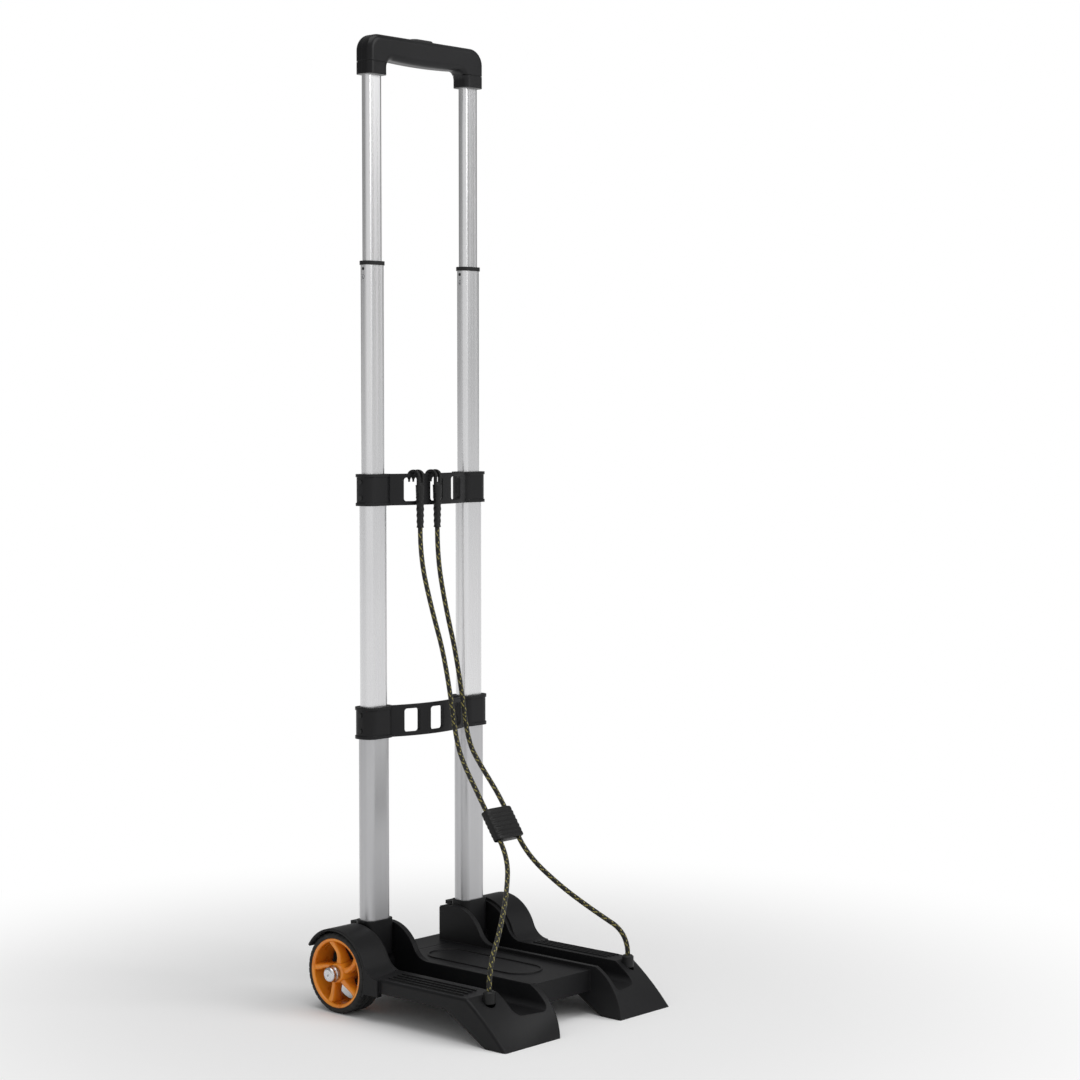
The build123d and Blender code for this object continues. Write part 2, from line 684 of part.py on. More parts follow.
for name, x in hook_x.items():
    front = plate_face(abs(x) - hook_width / 2) - hook_gap
    back = plate_face(abs(x) + hook_width / 2) + plate_thickness + hook_gap
    crook_top = bridge_top + hook_gap
    with BuildPart() as hook:
        with BuildSketch(Plane.YZ.offset(x - hook_width / 2)):
            with BuildLine():
                Polyline(
                    (front, bridge_top - 18), (front, crook_top), (back, crook_top), (back, bridge_top - 9),
                    (back + hook_bar, bridge_top - 9), (back + hook_bar, crook_top + hook_bar),
                    (front - hook_bar, crook_top + hook_bar), (front - hook_bar, bridge_top - 18), close=True)
            make_face()
        extrude(amount=hook_width)
        fillet(hook.edges().filter_by(Axis.X).group_by(Axis.Z)[-1], 2.5)
        # the fork: a slot down the middle of the crook
        with BuildSketch(Plane.XY.offset(bridge_top - 7)):
            with Locations((x, front + 2)):
                Rectangle(2.6, 30)
        extrude(amount=20, mode=Mode.SUBTRACT)
        # the shank that the cord is held in, tapering downwards
        with BuildSketch(Plane.XY.offset(bridge_top - 12)) as shank_top:
            with Locations((x, hook_axis_y(x))):
                Circle(4.8)
        with BuildSketch(Plane.XY.offset(hook_bottom)) as shank_end:
            with Locations((x, hook_axis_y(x))):
                Circle(3.4)
        loft([shank_end.sketch, shank_top.sketch])
    finish(hook, f"cord_hook_{name}")

with BuildPart() as keeper:
    keeper_start = keeper_at - keeper_axis * (keeper_size[2] / 2)
    with BuildSketch(Plane(keeper_start, x_dir=(1, 0, 0), z_dir=keeper_axis)):
        RectangleRounded(keeper_size[0], keeper_size[1], 4.0)
    extrude(amount=keeper_size[2])
finish(keeper, "cord_keeper")

keeper_top = keeper_at + keeper_axis * (keeper_size[2] / 2)
keeper_foot = keeper_at - keeper_axis * (keeper_size[2] / 2)
split_z = 290.0  # between the cords' upper and middle lengths


def ahead(x, distance, z):
    """A point this far in front of the axle's line."""
    return Vector(x, axle_y - distance, z)


def cord_points(side, hook, bend_x, landing):
    """One cord's route in three lengths, each meeting the next face to face."""
    hook_end = Vector(hook, hook_axis_y(hook), hook_bottom)
    split = ahead(bend_x - 4, 36, split_z)
    beside = Vector(side * keeper_span / 2, 0, 0)
    anchored = Vector(side * anchor[0], anchor[1], anchor_top)
    return {
        "upper": [hook_end, hook_end - (0, 0, 30), ahead((3 * hook + bend_x) / 4, 30, 405),
                  split + (-8, 2, 56), split],
        "middle": [split, ahead(bend_x, 37, 262), ahead((bend_x + 8 + beside.X) / 2 - 2, 60, 241),
                   keeper_top + beside + keeper_axis * 17, keeper_top + beside],
        "lower": [keeper_foot + beside, keeper_foot + beside - keeper_axis * 20, *landing,
                  anchored + (0, 0, 22), anchored],
    }


cord_routes = {
    "left": cord_points(-1, hook_x["left"], 13, [ahead(-33, 150, 128), ahead(-70, 175, 99)]),
    "right": cord_points(1, hook_x["right"], 30, [ahead(50, 147, 123), ahead(80, 168, 95)]),
}


def bend_radii(points):
    """The largest even radius at each corner: 0.45 of the shorter run over the tangent of half the turn."""
    radii = []
    for before, corner, after in zip(points, points[1:], points[2:]):
        turn = radians((corner - before).get_angle(after - corner))
        shorter = min((corner - before).length, (after - corner).length)
        radii.append(0.45 * shorter / tan(turn / 2))
    return radii


for side_name, lengths in cord_routes.items():
    for part_name, points in lengths.items():
        name = f"cord_{part_name}_{side_name}"
        radii = bend_radii(points)
        with BuildPart() as cord:
            with BuildLine() as path:
                FilletPolyline(*points, radius=radii)
            with BuildSketch(Plane(path.line @ 0, z_dir=path.line % 0)):
                Circle(cord_diameter / 2)
            sweep(path=path.line)
        length = path.wires()[0].length
        full = pi * cord_diameter**2 / 4 * length  # the volume it should have
        share = cord.part.volume / full
        print(f"{name}: length {length:.1f}, radii {[round(r) for r in radii]}, volume share {share:.4f}")
        finish(cord, name)
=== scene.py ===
import json
import math

import bpy
import numpy as np
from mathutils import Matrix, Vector


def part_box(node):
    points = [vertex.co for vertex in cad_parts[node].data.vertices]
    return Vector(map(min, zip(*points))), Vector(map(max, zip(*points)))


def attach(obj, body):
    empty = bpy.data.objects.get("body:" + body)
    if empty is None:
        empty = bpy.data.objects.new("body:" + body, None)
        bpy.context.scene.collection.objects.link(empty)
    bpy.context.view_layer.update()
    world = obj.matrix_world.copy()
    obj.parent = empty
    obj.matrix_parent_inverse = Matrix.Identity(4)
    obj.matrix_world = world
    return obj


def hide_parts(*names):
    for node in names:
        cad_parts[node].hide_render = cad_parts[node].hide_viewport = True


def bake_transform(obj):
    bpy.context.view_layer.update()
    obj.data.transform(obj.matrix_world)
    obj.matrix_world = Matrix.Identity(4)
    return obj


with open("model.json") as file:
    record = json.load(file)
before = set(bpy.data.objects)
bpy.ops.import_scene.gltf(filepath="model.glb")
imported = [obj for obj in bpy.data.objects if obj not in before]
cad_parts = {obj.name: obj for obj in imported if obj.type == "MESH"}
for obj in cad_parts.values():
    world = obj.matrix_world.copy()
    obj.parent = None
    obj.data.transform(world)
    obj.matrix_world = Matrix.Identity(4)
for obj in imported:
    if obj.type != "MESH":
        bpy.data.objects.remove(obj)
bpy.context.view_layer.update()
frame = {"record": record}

# Looks for a compact folding luggage cart. Metres throughout; +Z is up and -Y is the front.
mm = 0.001
sides = {"left": -1, "right": 1}


def middleOf(node):
    low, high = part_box(node)
    return (np.array(low) + np.array(high)) / 2


axle = middleOf("axle")
axleY, axleZ = axle[1], axle[2]


# ---- meshes from arrays
def gridFaces(rows, columns, closeRows=False, closeColumns=True):
    # faces of a grid of rows x columns points: each joins a point to its neighbours in both directions
    r = np.arange(rows if closeRows else rows - 1)[:, None]
    c = np.arange(columns if closeColumns else columns - 1)[None, :]
    nextRow, nextColumn = (r + 1) % rows, (c + 1) % columns
    here, after = r * columns, nextRow * columns
    corners = [here + c, here + nextColumn, after + nextColumn, after + c]
    return np.stack([np.broadcast_to(k, (len(r), c.shape[1])) for k in corners], axis=-1).reshape(-1, 4)


def capFaces(start, columns, centre, outward):
    # a fan of triangles from one ring of points to a centre point
    c = np.arange(columns)
    first, second = start + c, start + (c + 1) % columns
    ring = (first, second) if outward else (second, first)
    return np.stack([ring[0], ring[1], np.full(columns, centre)], axis=-1)


def buildMesh(name, points, faceSets, uv=None):
    mesh = bpy.data.meshes.new(name)
    faces = [face.tolist() for faceSet in faceSets for face in faceSet]
    mesh.from_pydata(points.reshape(-1, 3).tolist(), [], faces)
    mesh.update()
    mesh.shade_smooth()
    if uv is not None:
        layer = mesh.uv_layers.new(name="along")
        index = np.empty(len(mesh.loops), int)
        mesh.loops.foreach_get("vertex_index", index)
        layer.data.foreach_set("uv", uv.reshape(-1, 2)[index].astype(np.float32).ravel())
    piece = bpy.data.objects.new(name, mesh)
    bpy.context.collection.objects.link(piece)
    return piece


def joinParts(name, parts):
    # one mesh from several (points, faces) pairs, each set of faces shifted past the points before it
    points, faceSets, shift = [], [], 0
    for partPoints, partFaces in parts:
        points.append(partPoints.reshape(-1, 3))
        faceSets += [faces + shift for faces in partFaces]
        shift += len(points[-1])
    return buildMesh(name, np.concatenate(points), faceSets)


def turned(profile, centreX, segments, side=1):
    # a closed outline of (distance along the axle, radius), turned once round the axle's line
    along, radius = np.array(profile).T
    angle = np.linspace(0, 2 * math.pi, segments, endpoint=False)[:, None]
    x = np.broadcast_to(centreX + side * along, (segments, len(along)))
    points = np.stack([x, axleY + radius * np.cos(angle), axleZ + radius * np.sin(angle)], axis=-1)
    faces = gridFaces(segments, len(along), closeRows=True)
    return points, [faces if side > 0 else faces[:, ::-1]]


def superEllipse(sidesCount, power):
    # a rounded square outline: cosine and sine, each to the power 2/n and with its own sign
    angle = np.linspace(0, 2 * math.pi, sidesCount, endpoint=False)
    c, s = np.cos(angle), np.sin(angle)
    return np.sign(c) * np.abs(c) ** (2 / power), np.sign(s) * np.abs(s) ** (2 / power)


def swept(path, across, halfWidth, halfDepth, power=2.0, sidesCount=20):
    # an outline carried along a path: each ring is the path's point plus the outline on two side vectors
    path = np.asarray(path, float)
    tangent = np.gradient(path, axis=0)
    tangent /= np.linalg.norm(tangent, axis=1, keepdims=True)
    across = np.asarray(across, float)[None, :]
    across = across - tangent * np.sum(tangent * across, axis=1, keepdims=True)
    across /= np.linalg.norm(across, axis=1, keepdims=True)
    depthWay = np.cross(tangent, across)
    a, b = superEllipse(sidesCount, power)
    wide = np.broadcast_to(halfWidth, len(path))[:, None, None]
    deep = np.broadcast_to(halfDepth, len(path))[:, None, None]
    rings = path[:, None] + across[:, None] * a[None, :, None] * wide
    rings = rings + depthWay[:, None] * b[None, :, None] * deep
    points = np.concatenate([rings.reshape(-1, 3), path[:1], path[-1:]])
    last = (len(path) - 1) * sidesCount
    ends = len(path) * sidesCount
    faces = [gridFaces(len(path), sidesCount), capFaces(0, sidesCount, ends, False)]
    faces.append(capFaces(last, sidesCount, ends + 1, True))
    return points, faces


def smoothPath(name, controls, resolution):
    # points on a smooth NURBS curve of order 3 through the ends of a list of control points
    curve = bpy.data.curves.new(name, "CURVE")
    curve.dimensions = "3D"
    spline = curve.splines.new("NURBS")
    spline.points.add(len(controls) - 1)
    for point, place in zip(spline.points, controls):
        point.co = (*place, 1)
    spline.order_u = 3
    spline.use_endpoint_u = True
    spline.resolution_u = resolution
    holder = bpy.data.objects.new(name, curve)
    bpy.context.collection.objects.link(holder)
    bpy.context.view_layer.update()
    line = bpy.data.meshes.new_from_object(holder.evaluated_get(bpy.context.evaluated_depsgraph_get()))
    points = np.empty(len(line.vertices) * 3)
    line.vertices.foreach_get("co", points)
    bpy.data.objects.remove(holder)
    bpy.data.meshes.remove(line)
    bpy.data.curves.remove(curve)
    return points.reshape(-1, 3)


def lengthAlong(path):
    steps = np.linalg.norm(np.diff(path, axis=0), axis=1)
    return np.concatenate([[0], np.cumsum(steps)])


# ---- camera
view = {"place": (-1.7534, -1.6554, 0.6027), "turn": 47.903, "pitch": 3.045, "lens": 80.0, "sensor": 36.0}


def makeCamera():
    camera = bpy.data.cameras.new("camera")
    camera.lens = view["lens"]
    camera.sensor_width = view["sensor"]
    camera.clip_end = 60
    holder = bpy.data.objects.new("camera", camera)
    holder.location = view["place"]
    holder.rotation_euler = (math.radians(90 - view["pitch"]), 0, -math.radians(view["turn"]))
    bpy.context.collection.objects.link(holder)
    bpy.context.scene.camera = holder


makeCamera()
print("stage: camera")

# ---- cords: two strands, each in a lower, a middle and an upper length
cords = {
    "diameter": 5.0 * mm,
    "anchorX": 103 * mm, "anchorAhead": 192 * mm, "anchorZ": 50.5 * mm,
    "keeper": (8 * mm, 106 * mm, 187 * mm),  # x, distance ahead of the axle, height
    "keeperAxis": Vector((0, 0.568, 0.823)).normalized(),
    "keeperLength": 34 * mm, "keeperSpan": 28 * mm, "keeperHalfWidth": 19 * mm, "keeperHalfDepth": 5.6 * mm,
    "hookX": {"left": -27 * mm, "right": -5 * mm},
    "bendX": {"left": 13 * mm, "right": 30 * mm},
    "splitZ": 290 * mm,
    "landings": {
        "left": [(-33, 150, 128), (-70, 175, 99)],
        "right": [(50, 147, 123), (80, 168, 95)],
    },
}
bridges = {"plateFront": 22 * mm, "bulge": 12 * mm, "plateHalf": 55.5 * mm}


def ahead(x, distance, z):
    # a point this far in front of the axle's line
    return Vector((x, axleY - distance, z))


def hookAxisY(x):
    # y of the line that a hook hangs on: the bowed plate's front face, less a gap and half a shank
    half, bulge = bridges["plateHalf"], bridges["bulge"]
    bow = (half**2 + bulge**2) / (2 * bulge)
    return axleY - bridges["plateFront"] + bow - math.sqrt(bow**2 - x**2) - 5.5 * mm


def cordRoute(name, side):
    # the control points of one strand's three lengths
    hook, bend = cords["hookX"][name], cords["bendX"][name]
    hookEnd = Vector((hook, hookAxisY(hook), 485.6 * mm))
    split = ahead(bend - 4 * mm, 36 * mm, cords["splitZ"])
    axis = cords["keeperAxis"]
    keeper = ahead(*cords["keeper"])
    beside = Vector((side * cords["keeperSpan"] / 2, 0, 0))
    top = keeper + axis * cords["keeperLength"] / 2 + beside
    foot = keeper - axis * cords["keeperLength"] / 2 + beside
    anchor = ahead(side * cords["anchorX"], cords["anchorAhead"], cords["anchorZ"])
    landings = [ahead(*(v * mm for v in place)) for place in cords["landings"][name]]
    return {
        "upper": [
            split, split + Vector((-8, 2, 56)) * mm, ahead((3 * hook + bend) / 4, 30 * mm, 405 * mm),
            hookEnd - Vector((0, 0, 30 * mm)), hookEnd,
        ],
        "middle": [
            top, top + axis * 17 * mm, ahead((bend + 8 * mm + beside.x) / 2 - 2 * mm, 60 * mm, 241 * mm),
            ahead(bend, 37 * mm, 262 * mm), split,
        ],
        "lower": [
            anchor, anchor + Vector((0, 0, 22 * mm)), *reversed(landings), foot - axis * 20 * mm, foot,
        ],
    }


def braidedTube(name, path):
    # a round tube along the path, with u round it and v the distance along it
    radius, around = cords["diameter"] / 2, 20
    points, faces = swept(path, (1, 0, 0), radius, radius, sidesCount=around)
    u = np.broadcast_to(np.linspace(0, 1, around, endpoint=False), (len(path), around))
    v = np.broadcast_to(lengthAlong(path)[:, None], (len(path), around))
    uv = np.concatenate([np.stack([u, v], axis=-1).reshape(-1, 2), [[0, 0], [0, v.max()]]])
    return buildMesh(name, points, faces, uv)


# ---- hooks and keeper on the cords
hookSizes = {
    "bridgeTop": 540.6 * mm, "shankTop": 529 * mm, "bottom": 485.6 * mm, "width": 9.0 * mm,
    "prong": 3.0 * mm, "bar": 3.6 * mm, "ridges": 7,
}


def hook(name):
    # a tapering ridged shank, and two prongs carried up, over the bridge's plate and down behind it
    x = cords["hookX"][name]
    low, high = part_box(f"cord_hook_{name}")
    y = hookAxisY(x)
    bottom, top = hookSizes["bottom"], high[2]
    bar = hookSizes["bar"]
    t = np.linspace(0, 1, 60)
    shank = np.stack([np.full(60, x), np.full(60, y), bottom + (hookSizes["shankTop"] - bottom) * t], axis=-1)
    ridges = 0.25 * mm * np.cos(2 * math.pi * hookSizes["ridges"] * t) * (t < 0.72)
    taper = (3.35 + 1.15 * t**1.5) * mm
    half = taper + ridges - 0.1 * mm
    parts = [swept(shank, (1, 0, 0), half, half, power=2.5, sidesCount=28)]
    # the prongs' line: up in front, a rounded crook over the plate, down behind to a blunt tip
    front, back = low[1] + bar / 2, high[1] - bar / 2
    front = max(front, y - 0.5 * mm)
    crown = top - bar / 2
    bendRadius = (back - front) / 2
    turn = np.linspace(math.pi, 0, 16)
    rise = np.linspace(hookSizes["bridgeTop"] - 20 * mm, crown - bendRadius * 0.6, 10)
    fall = np.linspace(crown - bendRadius * 0.6, hookSizes["bridgeTop"] - 8.6 * mm, 8)
    arcY = (front + back) / 2 + bendRadius * np.cos(turn)
    arcZ = crown - bendRadius * 0.6 + bendRadius * 0.6 * np.sin(turn)
    lineY = np.concatenate([np.full(10, front), arcY[1:-1], np.full(8, back)])
    lineZ = np.concatenate([rise, arcZ[1:-1], fall])
    for way in (-1, 1):
        lineX = np.full(len(lineY), x + way * (hookSizes["width"] - hookSizes["prong"]) / 2)
        path = np.stack([lineX, lineY, lineZ], axis=-1)
        tip = np.clip((len(lineY) - 1 - np.arange(len(lineY))) / 4, 0.55, 1)
        prong = hookSizes["prong"] / 2 * tip
        parts.append(swept(path, (1, 0, 0), prong, bar / 2 * tip, power=3.0, sidesCount=20))
    # the bridge between the prongs and the shank
    z = np.linspace(hookSizes["shankTop"] - 8 * mm, hookSizes["shankTop"] + 3 * mm, 12)
    yoke = np.stack([np.full(12, x), np.full(12, (y + front) / 2), z], axis=-1)
    swell = np.sin(np.linspace(0.25, math.pi - 0.25, 12)) ** 0.5
    width, depth = hookSizes["width"] / 2 * swell, bar * 0.62 * swell
    parts.append(swept(yoke, (1, 0, 0), width, depth, power=3.5, sidesCount=24))
    return joinParts(f"forked_hook_{name}", parts)


def keeper():
    # a rounded block along the cords' line, with grips ridged across it, and ends drawn in
    axis = np.array(cords["keeperAxis"])
    centre = np.array(ahead(*cords["keeper"]))
    t = np.linspace(-1, 1, 70)
    path = centre + axis * (t * cords["keeperLength"] / 2)[:, None]
    roll = np.clip((1 - np.abs(t)) / 0.12, 0, 1)
    ends = np.sqrt(1 - (1 - roll) ** 2) * 0.16 + 0.84
    ridges = 0.45 * mm * np.cos(2 * math.pi * 3.5 * t) * (np.abs(t) < 0.75)
    width, depth = cords["keeperHalfWidth"] * ends, cords["keeperHalfDepth"] * ends + ridges
    return joinParts("ridged_keeper", [swept(path, (1, 0, 0), width, depth, 5.0, 48)])


def makeHooks():
    made = []
    for name in sides:
        piece = hook(name)
        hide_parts(f"cord_hook_{name}")
        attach(piece, "stage2")
        made.append(piece)
    piece = keeper()
    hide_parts("cord_keeper")
    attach(piece, "root")
    return made + [piece]


hookPieces = makeHooks()
print("stage: hooks and keeper")


def makeCords():
    made = []
    fittings = {("upper", "left"): hookPieces[0], ("upper", "right"): hookPieces[1]}
    fittings |= {("lower", name): hookPieces[2] for name in sides} | {("middle", name): [] for name in sides}
    for name, side in sides.items():
        for part, controls in cordRoute(name, side).items():
            path = smoothPath(f"{part}_{name}_line", controls, 40)
            node = f"cord_{part}_{name}"
            piece = braidedTube(f"braided_{part}_{name}", path)
            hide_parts(node)
            if part == "lower":
                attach(piece, "root")
            else:
                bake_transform(piece)
            "object" if part == "middle" else "fitting"
            made.append(piece)
    return made


cordPieces = makeCords()
print("stage: cords")

# ---- wheels
wheel = {
    "radius": 40.8 * mm, "rimRadius": 35 * mm, "band": 3.0 * mm, "hub": 9.5 * mm, "spokes": 5,
    "treadDepth": 0.9 * mm, "blocks": 40, "shoulder": 3.5 * mm,
    "capFrom": 126.6 * mm, "capTo": 134.6 * mm, "capDepth": 4.1 * mm,
}


def tyre(name):
    # the tyre's outline, turned round the axle, with its outer face sunk between the tread's blocks
    low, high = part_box(f"tyre_{name}")
    half = (high[0] - low[0]) / 2
    inner, outer, shoulder = wheel["rimRadius"], wheel["radius"], wheel["shoulder"]
    turn = np.linspace(0, math.pi / 2, 7)
    groove = [(-5.2, 0), (-4.8, -1), (-3.4, -1), (-3.0, 0), (3.0, 0), (3.4, -1), (4.8, -1), (5.2, 0)]
    crown = [(x * mm, outer + dip * wheel["treadDepth"]) for x, dip in groove]
    left = [(-half + shoulder * (1 - math.cos(a)), outer - shoulder * (1 - math.sin(a))) for a in turn]
    outline = [(-half, inner)] + left + crown + [(-x, r) for x, r in reversed(left)] + [(half, inner)]
    profile = np.array(outline)
    segments = wheel["blocks"] * 6
    points, faces = turned(profile, (low[0] + high[0]) / 2, segments)
    # short cuts across the shoulders, a part of each block's length
    cut = (np.arange(segments) % 6 == 0)[:, None] & (profile[:, 1] > outer - 2.2 * mm)[None, :]
    cut &= (np.abs(profile[:, 0]) > 5.5 * mm)[None, :]
    spoke = points[..., 1:] - axle[1:]
    outwards = spoke / np.linalg.norm(spoke, axis=-1, keepdims=True)
    points[..., 1:] -= cut[..., None] * outwards * wheel["treadDepth"]
    return joinParts(f"tread_{name}", [(points, faces)])


def rim(name, side):
    # a lipped band and a hub, turned, with tapered spokes carried outwards between them
    low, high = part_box(f"rim_{name}")
    middle, half = (low[0] + high[0]) / 2, (high[0] - low[0]) / 2 - 0.2 * mm
    outer, band, hub = wheel["rimRadius"] - 0.05 * mm, wheel["band"], wheel["hub"]
    lip = 1.2 * mm
    bandOutline = [
        (-half, outer), (-half - 0.1 * mm, outer - lip), (-half + lip, outer - band - 0.4 * mm),
        (-half + 4 * mm, outer - band + 0.6 * mm), (half - 4 * mm, outer - band + 0.6 * mm),
        (half - lip, outer - band - 0.4 * mm), (half + 0.1 * mm, outer - lip), (half, outer),
    ]
    hubOutline = [
        (-half, 6.05 * mm), (-half, hub - lip), (-half + lip, hub), (-2 * mm, hub + 1.2 * mm),
        (2 * mm, hub + 1.2 * mm), (half - lip, hub), (half, hub - lip), (half, 6.05 * mm),
    ]
    parts = [turned(bandOutline, middle, 96), turned(hubOutline, middle, 64)]
    reach = np.linspace(hub - 1 * mm, outer - band + 1.2 * mm, 14)
    t = np.linspace(0, 1, 14)
    for k in range(wheel["spokes"]):
        start = math.pi / 2 + 2 * math.pi * k / wheel["spokes"]
        angle = start + side * 0.28 * np.sin(math.pi * t / 2) ** 2  # spokes lean back as they go out
        path = np.stack([
            np.full(14, middle + side * 2 * mm) + side * 1.5 * mm * t,
            axleY + reach * np.cos(angle), axleZ + reach * np.sin(angle)], axis=-1)
        width = (3.9 - 1.2 * np.sin(math.pi * t)) * mm
        depth = (9.0 - 3.0 * np.sin(math.pi * t)) * mm
        parts.append(swept(path, (1, 0, 0), depth, width, power=3.2, sidesCount=24))
    return joinParts(f"spoked_rim_{name}", parts)


def axleCap(name, side):
    # a low dome with a rolled edge, turned round the axle
    inner, outer = wheel["capFrom"], wheel["capTo"]
    bored = inner + wheel["capDepth"]
    turn = np.linspace(0, math.pi / 2, 8)
    edge = 3 * mm
    dome = [(outer - edge + edge * math.sin(a), 1e-5 + 4.5 * mm + edge * math.cos(a)) for a in turn]
    outline = [
        (inner, wheel["capDepth"]), (inner, 8.2 * mm), (inner + 1 * mm, 8.6 * mm), (inner + 2 * mm, 7.7 * mm)]
    outline += dome
    outline += [
        (outer, 2 * mm), (outer - 0.3 * mm, 0.02 * mm), (bored, 0.02 * mm), (bored, wheel["capDepth"])]
    points, faces = turned(outline, 0, 48, side)
    return points, faces


def makeWheels():
    made = {"tyre": [], "rim": [], "cap": []}
    for name, side in sides.items():
        piece = tyre(name)
        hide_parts(f"tyre_{name}")
        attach(piece, f"wheel_{name}")
        made["tyre"].append(piece)
        piece = rim(name, side)
        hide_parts(f"rim_{name}")
        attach(piece, f"wheel_{name}")
        made["rim"].append(piece)
    piece = joinParts("domed_caps", [axleCap(name, side) for name, side in sides.items()])
    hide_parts("axle_caps")
    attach(piece, "root")
    made["cap"].append(piece)
    return made


wheelPieces = makeWheels()
print("stage: wheels")

# ---- materials
class Signal:
    # a number inside a material; sums and products of signals add Math nodes

    def __init__(self, finish, socket):
        self.finish, self.socket = finish, socket

    def work(self, operation, *values):
        node = self.finish.add("ShaderNodeMath", {"operation": operation}, dict(enumerate(values)))
        return Signal(self.finish, node.outputs[0])

    def __add__(self, other):
        return self.work("ADD", self, other)

    def __radd__(self, other):
        return self.work("ADD", other, self)

    def __sub__(self, other):
        return self.work("SUBTRACT", self, other)

    def __rsub__(self, other):
        return self.work("SUBTRACT", other, self)

    def __mul__(self, other):
        return self.work("MULTIPLY", self, other)

    def __rmul__(self, other):
        return self.work("MULTIPLY", other, self)

    def __truediv__(self, other):
        return self.work("DIVIDE", self, other)

    def __gt__(self, other):
        return self.work("GREATER_THAN", self, other)

    def __mod__(self, other):
        return self.work("FLOORED_MODULO", self, other)


class Finish:
    # one material: constants on the shader, then what varies over the surface

    def __init__(self, name, **constants):
        self.material = bpy.data.materials.new(name)
        self.material.use_nodes = True
        self.tree = self.material.node_tree
        self.shader = next(n for n in self.tree.nodes if n.type == "BSDF_PRINCIPLED")
        for socket, value in constants.items():
            self.shader.inputs[socket.replace("_", " ")].default_value = value

    def add(self, nodeType, settings, inputs):
        node = self.tree.nodes.new(nodeType)
        for setting, value in settings.items():
            setattr(node, setting, value)
        for key, value in inputs.items():
            self.feed(node.inputs[key], value)
        return node

    def feed(self, socket, value):
        if isinstance(value, Signal):
            self.tree.links.new(value.socket, socket)
        elif isinstance(value, bpy.types.NodeSocket):
            self.tree.links.new(value, socket)
        else:
            socket.default_value = value

    def place(self, stretch=(1, 1, 1)):
        coordinates = self.add("ShaderNodeTexCoord", {}, {})
        inputs = {"Vector": coordinates.outputs["Object"], "Scale": stretch}
        return self.add("ShaderNodeMapping", {}, inputs).outputs[0]

    def noise(self, scale, detail=3.0, stretch=(1, 1, 1)):
        inputs = {"Vector": self.place(stretch), "Scale": scale, "Detail": detail}
        return Signal(self, self.add("ShaderNodeTexNoise", {}, inputs).outputs[0])

    def grains(self, scale):
        inputs = {"Vector": self.place(), "Scale": scale}
        return Signal(self, self.add("ShaderNodeTexVoronoi", {"feature": "F1"}, inputs).outputs["Distance"])

    def fade(self, signal, low, high, toLow=0.0, toHigh=1.0):
        inputs = {"Value": signal, "From Min": low, "From Max": high, "To Min": toLow, "To Max": toHigh}
        return Signal(self, self.add("ShaderNodeMapRange", {"clamp": True}, inputs).outputs[0])

    def colours(self, factor, first, second):
        node = self.tree.nodes.new("ShaderNodeMix")
        node.data_type = "RGBA"
        self.feed(node.inputs[0], factor)
        self.feed(node.inputs[6], first if not isinstance(first, tuple) else (*first, 1))
        self.feed(node.inputs[7], second if not isinstance(second, tuple) else (*second, 1))
        return node.outputs[2]

    def bump(self, height, distance, strength=1.0, edge=0.0):
        inputs = {"Height": height, "Distance": distance, "Strength": strength}
        if edge:
            inputs["Normal"] = self.add("ShaderNodeBevel", {"samples": 6}, {"Radius": edge}).outputs[0]
        self.feed(self.shader.inputs["Normal"], self.add("ShaderNodeBump", {}, inputs).outputs[0])

    def set(self, socket, value):
        self.feed(self.shader.inputs[socket], value)


def mouldedBlack(name, dark, light, roughness, edge, grain=0.00005):
    # colour = dark to light by 0.6 flow marks + 0.4 specks; height = grains + half the specks
    finish = Finish(name, Specular_IOR_Level=0.2)
    marks = finish.noise(9.0, 4.0, (1, 0.5, 1))
    speck = finish.noise(2600.0, 2.0)
    finish.set("Base Color", finish.colours(finish.fade(marks * 0.6 + speck * 0.4, 0.35, 0.7), dark, light))
    finish.set("Roughness", finish.fade(marks, 0.3, 0.7, roughness - 0.07, roughness + 0.09))
    finish.bump(finish.grains(1500.0) + speck * 0.5, grain, 0.5, edge)
    return finish.material


def anodised(name, low, high, smooth, rough):
    # drawn aluminium: roughness = a range of noise stretched up the tube + a twentieth of a broad bloom
    finish = Finish(name, Metallic=1.0, Specular_IOR_Level=0.5)
    lines = finish.noise(420.0, 3.0, (1, 1, 0.004))
    bloom = finish.noise(7.0, 3.0, (1, 1, 0.4))
    finish.set("Base Color", finish.colours(finish.fade(bloom, 0.3, 0.7), low, high))
    finish.set("Roughness", finish.fade(lines, 0.3, 0.7, smooth, rough) + bloom * 0.05)
    finish.bump(lines, 0.00004, 0.35)
    return finish.material


def amber(name):
    # colour and roughness = two ends mixed by one noise, which is also the height
    finish = Finish(name, Specular_IOR_Level=0.55, Coat_Weight=0.25, Coat_Roughness=0.12)
    flow = finish.noise(60.0, 3.0)
    mixed = finish.fade(flow, 0.3, 0.7)
    finish.set("Base Color", finish.colours(mixed, (0.74, 0.20, 0.010), (0.88, 0.32, 0.020)))
    finish.set("Roughness", finish.fade(flow, 0.3, 0.7, 0.24, 0.36))
    finish.bump(flow, 0.0001, 0.3, 0.0006)
    return finish.material


def rubber(name, roughness=0.72):
    # colour = black to dusty grey by the upper part of the scuffs; height = a much finer noise
    finish = Finish(name, Specular_IOR_Level=0.35)
    scuffs = finish.noise(120.0, 5.0)
    dust = finish.fade(scuffs, 0.4, 0.75)
    finish.set("Base Color", finish.colours(dust, (0.010, 0.010, 0.010), (0.032, 0.031, 0.030)))
    finish.set("Roughness", finish.fade(scuffs, 0.3, 0.7, roughness - 0.08, roughness + 0.08))
    finish.bump(finish.noise(1400.0, 2.0), 0.00006, 0.5, 0.0004)
    return finish.material


braid = {"strands": 8, "lay": 0.024, "every": 4, "black": (0.014, 0.014, 0.012), "fleck": (0.34, 0.30, 0.09)}


